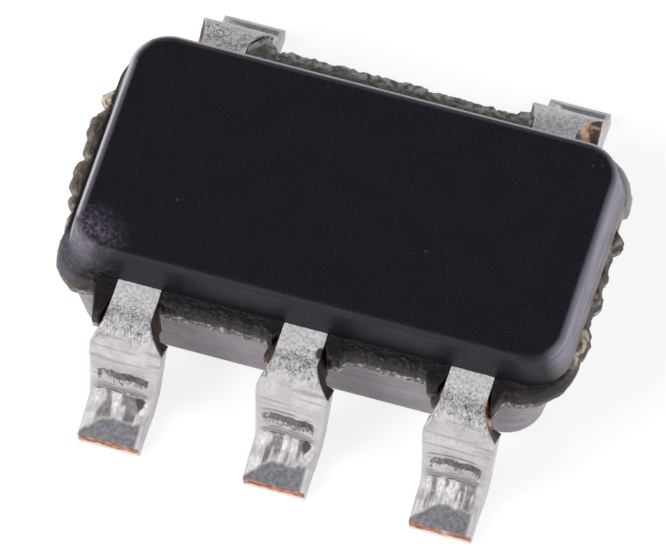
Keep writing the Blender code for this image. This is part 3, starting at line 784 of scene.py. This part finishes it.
class Nodes:
    """The nodes of a material or a world, built by short calls that return sockets."""

    def __init__(self, name, world=False):
        self.owner = (bpy.data.worlds if world else bpy.data.materials).new(name)
        self.owner.use_nodes = True
        self.tree = self.owner.node_tree

    def link(self, target, value):
        """Link a socket to an input, or give the input a value."""
        if isinstance(value, bpy.types.NodeSocket):
            self.tree.links.new(value, target)
        elif isinstance(value, (tuple, list)) and len(value) == 3 and len(target.default_value) == 4:
            target.default_value = (*value, 1.0)
        else:
            target.default_value = value

    def set(self, name, value, node="Principled BSDF"):
        self.link(self.tree.nodes[node].inputs[name], value)

    def new(self, kind, inputs=(), **settings):
        """The outputs of a new node. Its inputs go by name or number."""
        node = self.tree.nodes.new("ShaderNode" + kind)
        for name, value in settings.items():
            setattr(node, name, value)
        for name, value in dict(inputs).items():
            self.link(node.inputs[name], value)
        return node.outputs

    def place(self, scale=(1.0, 1.0, 1.0)):
        """The place in millimetres, stretched by a scale."""
        return self.mapped(self.new("TexCoord")["Object"], [factor / MM for factor in scale])

    def mapped(self, vector, scale):
        return self.new("Mapping", {"Vector": vector, "Scale": scale})["Vector"]

    def read(self, name, output="Fac"):
        """A value or place that the mesh carries."""
        return self.new("Attribute", attribute_name=name)[output]

    def noise(self, vector, scale, detail=3.0, roughness=0.55, distortion=0.0):
        return self.new("TexNoise", {"Vector": vector, "Scale": scale, "Detail": detail,
                                     "Roughness": roughness, "Distortion": distortion})["Fac"]

    def cells(self, vector, scale):
        return self.new("TexVoronoi", {"Vector": vector, "Scale": scale}, feature="F1")["Distance"]

    def math(self, operation, *values):
        return self.new("Math", enumerate(values), operation=operation)[0]

    def times(self, first, second):
        return self.math("MULTIPLY", first, second)

    def range(self, value, low, high, to_low=0.0, to_high=1.0):
        inputs = {"Value": value, "From Min": low, "From Max": high,
                  "To Min": to_low, "To Max": to_high}
        return self.new("MapRange", inputs, interpolation_type="SMOOTHSTEP")["Result"]

    def mix(self, share, first, second):
        return self.new("Mix", {0: share, 6: first, 7: second}, data_type="RGBA")[2]

    def tones(self, value, low, high, first, second):
        """The first colour where the value is low, and the second where it is high."""
        return self.mix(self.range(value, low, high), first, second)

    def parts(self, vector):
        return self.new("SeparateXYZ", {0: vector})

    def bump(self, height, distance, normal=None):
        inputs = {"Strength": 1.0, "Distance": distance * MM, "Height": height}
        if normal is not None:
            inputs["Normal"] = normal
        return self.new("Bump", inputs)["Normal"]


def mould_material():
    """Filled epoxy: violet-black, greyed below the parting line by a painted reflection of the floor,
    brown and crumbly at the flash.
    """
    mat = Nodes("mould_compound_finish")
    place = mat.place()
    x, y, z = mat.parts(place)
    fine = mat.noise(place, 60, 4)
    base = upper_colour(mat, place, x, y, z, fine)
    # The half below the parting line: its grey is a painted reflection of the pale floor
    lines = mat.noise(mat.place((1.2, 1.2, 60.0)), 1.0)
    grey = mat.tones(lines, 0.3, 0.7, (0.315, 0.28, 0.315), (0.475, 0.428, 0.47))
    blotchy = mat.range(mat.noise(place, 16, 4), 0.35, 0.7, 0, 0.35)
    grey = mat.mix(blotchy, grey, (0.2, 0.18, 0.21))
    below = mat.range(z, LEAD_BOTTOM - PARTING_BLUR, LEAD_BOTTOM + PARTING_BLUR, 1, 0)
    base = mat.mix(below, base, grey)
    base = flash_colour(mat, place, base)
    mat.set("Base Color", base)
    mat.set("Roughness", mat.range(fine, 0.3, 0.7, 0.42, 0.54))
    mat.set("Specular IOR Level", 0.36)
    grain = mat.bump(mat.noise(place, 75, 4, 0.6), 0.0016)
    walls = mat.range(z, BODY_TOP - 0.06, BODY_TOP - 0.02, 1, 0)
    lined = mat.bump(mat.times(lines, walls), 0.0016, grain)
    crumbs = mat.times(mat.noise(place, 34, 4), mat.read("flash"))
    mat.set("Normal", mat.bump(crumbs, 0.006, lined))
    return mat.owner


def upper_colour(mat, place, x, y, z, fine):
    """The half above the parting line: near black, with its scuffs and dust, painted highlights on its
    edges and a painted sheen on its right end wall.
    """
    coarse = mat.noise(place, 5)
    dark = mat.tones(coarse, 0.3, 0.7, (0.004, 0.0032, 0.0088), (0.006, 0.0048, 0.0115))
    dark = mat.mix(mat.range(fine, 0.45, 0.75, 0, 0.25), dark, (0.016, 0.013, 0.024))
    # Dust on the top face
    dust = mat.range(mat.cells(place, 9.0), 0.03, 0.1, 1, 0)
    patchy = mat.range(mat.noise(place, 2.2, 2), 0.45, 0.62)
    dark = mat.mix(mat.times(dust, patchy), dark, (0.055, 0.052, 0.058))
    # A scuffed patch near the front left corner of the top
    across = mat.times(mat.math("SUBTRACT", x, SCUFF_X), SCUFF_SQUASH)
    along = mat.math("SUBTRACT", y, SCUFF_Y)
    far = mat.math("ADD", mat.times(across, across), mat.times(along, along))
    far = mat.math("SQRT", far)
    near = mat.range(mat.math("MULTIPLY_ADD", coarse, 0.1, far), 0.08, 0.26, 1, 0)
    specks = mat.range(mat.noise(place, 34, 4, 0.7), 0.42, 0.66, 0.15, 1.0)
    dark = mat.mix(mat.times(near, specks), dark, (0.15, 0.12, 0.17))
    # The right end wall: a painted lavender sheen above, browner towards the flash
    streaks = mat.noise(mat.place((2.0, 2.0, 34.0)), 1.0, 4)
    high = mat.tones(streaks, 0.3, 0.7, (0.205, 0.185, 0.235), (0.34, 0.315, 0.39))
    low = mat.tones(streaks, 0.3, 0.7, (0.195, 0.168, 0.16), (0.3, 0.265, 0.255))
    wall = mat.tones(z, LEAD_TOP, LEAD_TOP + 0.12, low, high)
    dark = mat.mix(mat.read("pale"), dark, wall)
    # Painted highlights on the edges and the front left corner, and the paler bulge at the back right
    return mat.mix(mat.read("edge"), dark, (0.6, 0.57, 0.64))


def flash_colour(mat, place, base):
    """The flash: dark and crumbly in front, worn paler elsewhere, amber with a painted glow where it is
    thin.
    """
    mottle = mat.noise(place, 30, 4, 0.6)
    dark = mat.mix(mat.noise(place, 45, 4), (0.0075, 0.005, 0.0062), (0.02, 0.014, 0.015))
    brown = mat.tones(mottle, 0.35, 0.65, (0.072, 0.052, 0.045), (0.2, 0.152, 0.125))
    greyed = mat.tones(mottle, 0.35, 0.65, (0.07, 0.058, 0.066), (0.15, 0.13, 0.145))
    olive = mat.tones(mottle, 0.35, 0.65, (0.074, 0.071, 0.064), (0.18, 0.174, 0.158))
    broken = mat.range(mat.noise(place, 26), 0.42, 0.56)
    # A broken pale line on the back flash's outer edge: a painted highlight
    rim = mat.times(mat.range(mat.read("olive"), 1.0, 2.0, 0.0, 0.85), broken)
    olive = mat.mix(rim, olive, (0.4, 0.385, 0.375))
    at_back = mat.math("MINIMUM", mat.read("olive"), 1.0)
    worn = mat.mix(at_back, mat.mix(mat.read("face"), brown, greyed), olive)
    colour = mat.mix(mat.read("wear"), dark, worn)
    # The amber of thin flash, lightened into a painted glow of light through it
    glow = mat.tones(mat.noise(place, 26), 0.38, 0.62, (0.21, 0.15, 0.1), (0.84, 0.72, 0.54))
    colour = mat.mix(mat.read("amber"), colour, glow)
    # Pale specks on the flash's crumbly lower edge: painted glints
    speck = mat.range(mat.noise(place, 42), 0.5, 0.6)
    crumb_glint = mat.mix(speck, (0.13, 0.105, 0.118), (0.6, 0.52, 0.51))
    ragged = mat.range(mat.noise(place, 22), 0.2, 0.36)
    colour = mat.mix(mat.times(mat.read("lip"), ragged), colour, crumb_glint)
    return mat.mix(mat.read("flash"), base, colour)


def tin_material():
    """Matte tin over copper, with the marks of forming on it and bare copper where it was cut."""
    mat = Nodes("tin_plated_copper_finish")
    sheet = mat.read("sheet", "Vector")
    _, to_tip, lift = mat.parts(sheet)
    mask = {label: mat.read(label) for label in
            "grain blotch crease line groove dark white dull cut bare tip".split()}
    tone = mat.noise(sheet, 9)
    base = mat.tones(tone, 0.3, 0.7, (0.6, 0.57, 0.6), (0.79, 0.755, 0.755))
    mottle = mat.noise(sheet, 60, 3, 0.65)
    base = mat.mix(mat.range(mottle, 0.38, 0.66, 0.0, 0.35), base, (0.44, 0.42, 0.45))
    # Fine curved lines below the shoulder
    bowed = mat.noise(mat.mapped(sheet, (1.6, 24.0, 1.0)), 1.8, 4)
    on_leg = mat.times(mat.range(to_tip, 0.64, 0.72), mat.range(to_tip, 0.82, 0.88, 1, 0))
    bowed = mat.times(mat.range(bowed, 0.5, 0.64, 0.0, 0.7), on_leg)
    base = mat.mix(bowed, base, (0.38, 0.36, 0.38))
    base = grained(mat, sheet, to_tip, mask["grain"], base)
    base = tool_marked(mat, sheet, mask, base)
    base = cut_copper(mat, sheet, lift, mask, base)
    mat.set("Base Color", base)
    rough_parts = mat.math("MAXIMUM", mask["grain"], mat.math("MAXIMUM", mask["tip"], mask["cut"]))
    rough_parts = mat.math("MAXIMUM", rough_parts, mat.range(to_tip, 0.38, 0.46, 1, 0))
    mat.set("Metallic", mat.range(rough_parts, 0.0, 1.0, 0.36, 0.08))
    mat.set("Roughness", mat.range(tone, 0.3, 0.7, 0.38, 0.5))
    mat.set("Specular IOR Level", 0.4)
    pits = mat.times(mat.noise(sheet, 55, 4), mat.range(mask["grain"], 0, 1, 0.3, 1.0))
    mat.set("Normal", mat.bump(pits, 0.004))
    return mat.owner


def tool_marked(mat, sheet, mask, base):
    """The marks of the forming tool: creases, grooves, torn and stained rows, and the dull foot."""
    strokes = mat.noise(mat.mapped(sheet, (1.0, 0.34, 1.0)), 62, 3, 0.6)
    filled = mat.range(mat.math("MULTIPLY_ADD", mask["blotch"], 0.42, strokes), 0.62, 0.8)
    filled = mat.times(filled, mat.range(mask["blotch"], 0.02, 0.2))
    broken = mat.range(strokes, 0.34, 0.54, 0.55, 1.0)
    warm = mat.range(mat.noise(sheet, 18), 0.4, 0.6)
    silky = mat.tones(strokes, 0.36, 0.64, (0.62, 0.585, 0.58), (0.95, 0.92, 0.9))
    base = mat.mix(mask["white"], base, silky)
    base = mat.mix(mask["crease"], base, (0.36, 0.355, 0.355))
    grooved = mat.mix(warm, (0.14, 0.13, 0.15), (0.25, 0.185, 0.145))
    base = mat.mix(mat.times(mask["groove"], mat.times(broken, 0.85)), base, grooved)
    stained = mat.tones(strokes, 0.36, 0.62, (0.08, 0.066, 0.07), (0.24, 0.205, 0.19))
    base = mat.mix(filled, base, stained)
    base = mat.mix(mask["line"], base, (0.2, 0.185, 0.19))
    base = mat.mix(mask["dark"], base, (0.08, 0.068, 0.072))
    pits = mat.noise(sheet, 44, 4, 0.6)
    pitted = mat.tones(pits, 0.34, 0.66, (0.145, 0.142, 0.162), (0.255, 0.248, 0.275))
    return mat.mix(mask["dull"], base, pitted)


def grained(mat, sheet, to_tip, grain, base):
    """The neck's crazed grain: pale lumps, greyer hollows and dark curls between them."""
    hollow = mat.range(mat.noise(sheet, 56, 3, 0.6), 0.4, 0.66)
    lumpy = mat.mix(hollow, (0.98, 0.95, 0.98), (0.7, 0.665, 0.7))
    low = mat.range(to_tip, 0.9, 0.96, 0.75, 0.0)
    lumpy = mat.mix(low, lumpy, mat.mix(hollow, (0.66, 0.635, 0.665), (0.32, 0.3, 0.32)))
    base = mat.mix(mat.times(grain, 0.9), base, lumpy)
    curl = mat.math("ABSOLUTE", mat.math("SUBTRACT", mat.noise(sheet, 34, 2, 0.5, 1.4), 0.5))
    curl = mat.range(curl, 0.008, 0.05, 1, 0)
    patchy = mat.range(mat.math("MULTIPLY_ADD", low, 0.12, mat.noise(sheet, 20, 2)), 0.35, 0.51)
    dense = mat.range(to_tip, 0.93, 1.03, 1.0, 0.3)
    curl = mat.times(mat.times(curl, patchy), mat.times(grain, dense))
    return mat.mix(mat.times(curl, 0.92), base, (0.1, 0.088, 0.096))


def cut_copper(mat, sheet, lift, mask, base):
    """Bare copper, streaked dark and bright, where the tie bar and the tip were cut after plating."""
    streaky = mat.noise(mat.mapped(sheet, (1.0, 5.0, 9.0)), 1.6)
    shorn = mat.tones(streaky, 0.56, 0.66, (0.042, 0.022, 0.016), (0.46, 0.225, 0.135))
    base = mat.mix(mask["cut"], base, shorn)
    patches = mat.range(mat.noise(mat.mapped(sheet, (1.0, 9.0, 3.0)), 2.2), 0.4, 0.52)
    bright = mat.tones(streaky, 0.4, 0.6, (0.42, 0.19, 0.1), (0.8, 0.48, 0.31))
    base = mat.mix(mat.times(mask["bare"], patches), base, bright)
    burr = mat.math("MULTIPLY_ADD", mat.noise(sheet, 16), 0.05, lift)
    burr = mat.range(burr, -0.024, -0.01, 0.0, 1.0)
    burr = mat.times(burr, mat.range(mat.noise(sheet, 11, 2), 0.34, 0.46, 0.35, 1.0))
    torn = mat.tones(mat.noise(sheet, 28), 0.4, 0.62, (0.26, 0.045, 0.018), (0.6, 0.235, 0.125))
    tip = mat.mix(burr, (0.86, 0.79, 0.72), torn)
    return mat.mix(mask["tip"], base, tip)


def simple_material(name, first, second, metallic, roughness, scale):
    """A finish for a piece inside the housing, with a fine grain."""
    mat = Nodes(name)
    place = mat.place()
    grain = mat.noise(place, scale)
    mat.set("Base Color", mat.tones(grain, 0.3, 0.7, first, second))
    mat.set("Metallic", metallic)
    mat.set("Roughness", mat.range(grain, 0.3, 0.7, roughness * 0.85, roughness * 1.15))
    mat.set("Normal", mat.bump(grain, 0.0008))
    return mat.owner


def dress_inside():
    finishes = {
        "die": simple_material("silicon_finish", (0.2, 0.21, 0.26), (0.27, 0.28, 0.33), 0.4, 0.22, 30),
        "die_adhesive": simple_material("silver_adhesive_finish", (0.45, 0.44, 0.42), (0.6, 0.59, 0.57),
                                        0.3, 0.6, 80),
        "gold": simple_material("gold_finish", (0.86, 0.57, 0.17), (0.94, 0.67, 0.24), 1.0, 0.25, 60),
    }
    for name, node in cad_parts.items():
        if name in finishes or name.startswith("bond_wire"):
            node.data.materials.clear()
            node.data.materials.append(finishes.get(name, finishes["gold"]))


# Stage, light and camera

FLOOR_HALF = 600
WORLD_LOW = 0.95
WORLD_HIGH = 0.1


def floor_material():
    """White to the camera and in reflections, with the soft shadow kept."""
    mat = Nodes("pale_floor")
    path = mat.new("LightPath")
    seen = mat.math("MAXIMUM", path["Is Camera Ray"], path["Is Glossy Ray"])
    seen = mat.math("MAXIMUM", seen, path["Is Transmission Ray"])
    glow = mat.new("Emission", {"Color": (1, 1, 1), "Strength": 0.8})[0]
    soft = mat.new("BsdfDiffuse", {"Color": (0.32, 0.32, 0.32)})[0]
    both = mat.new("AddShader", {0: glow, 1: soft})[0]
    plain = mat.new("BsdfDiffuse", {"Color": (0.8, 0.8, 0.8)})[0]
    choice = mat.new("MixShader", {0: seen, 1: plain, 2: both})[0]
    mat.tree.nodes.remove(mat.tree.nodes["Principled BSDF"])
    mat.set("Surface", choice, "Material Output")
    return mat.owner


def make_floor():
    half = FLOOR_HALF * MM
    mesh = bpy.data.meshes.new("floor")
    corners = [(-half, -half, 0), (half, -half, 0), (half, half, 0), (-half, half, 0)]
    mesh.from_pydata(corners, [], [(0, 1, 2, 3)])
    mesh.materials.append(floor_material())
    floor = bpy.data.objects.new("floor", mesh)
    bpy.context.scene.collection.objects.link(floor)


def make_world():
    """A pale studio, darker overhead. The camera sees white."""
    nodes = Nodes("studio", world=True)
    bpy.context.scene.world = nodes.owner
    up = nodes.parts(nodes.new("TexCoord")["Generated"])["Z"]
    fade = nodes.range(up, 0.15, 0.7, WORLD_LOW, WORLD_HIGH)
    seen = nodes.new("LightPath")["Is Camera Ray"]
    level = nodes.new("Mix", {0: seen, 2: fade, 3: 1.0}, data_type="FLOAT")[0]
    nodes.set("Color", (1, 1, 1), "Background")
    nodes.set("Strength", level, "Background")


def direction(azimuth, elevation):
    """Unit vector towards a place round the part. Azimuth 0 is in front and 90 at the right."""
    turn, rise = math.radians(azimuth), math.radians(elevation)
    return Vector((math.sin(turn) * math.cos(rise), -math.cos(turn) * math.cos(rise), math.sin(rise)))


def make_light(name, azimuth, elevation, distance, size, level):
    """A soft round light. Its level is the light that it adds to a surface facing it."""
    data = bpy.data.lights.new(name, "AREA")
    data.shape = "DISK"
    data.size = size * MM
    data.energy = level * math.pi ** 2 * (distance * MM) ** 2
    light = bpy.data.objects.new(name, data)
    towards = direction(azimuth, elevation)
    light.location = towards * distance * MM
    light.rotation_mode = "QUATERNION"
    light.rotation_quaternion = towards.to_track_quat("Z", "Y")
    light.visible_camera = False
    bpy.context.scene.collection.objects.link(light)


def make_lights():
    make_light("key", -50, 46, 120, 70, 0.6)
    make_light("fill", 80, 30, 120, 80, 0.3)


def make_camera():
    back = direction(CAMERA_AZIMUTH, CAMERA_ELEVATION)
    right = (-back).cross(Vector((0, 0, 1))).normalized()
    up = right.cross(-back)
    roll = math.radians(CAMERA_ROLL)
    rolled_right = math.cos(roll) * right + math.sin(roll) * up
    rolled_up = -math.sin(roll) * right + math.cos(roll) * up
    data = bpy.data.cameras.new("camera")
    data.sensor_width = SENSOR
    data.lens = PIXELS_PER_MM * CAMERA_DISTANCE * SENSOR / PHOTO_WIDTH
    data.shift_x = -SHIFT_RIGHT / PHOTO_WIDTH
    data.shift_y = SHIFT_DOWN / PHOTO_WIDTH
    data.clip_start = 5 * MM
    data.clip_end = 5.0
    camera = bpy.data.objects.new("camera", data)
    turn = Matrix((rolled_right, rolled_up, back)).transposed()
    camera.matrix_world = Matrix.Translation(back * CAMERA_DISTANCE * MM) @ turn.to_4x4()
    bpy.context.scene.collection.objects.link(camera)
    bpy.context.scene.camera = camera


def main():
    make_floor()
    make_world()
    make_lights()
    make_camera()
    make_housing(mould_material())
    tin = tin_material()
    for number in LEADS:
        make_lead(number, tin)
    dress_inside()
    bpy.context.scene.view_settings.view_transform = "Standard"


main()
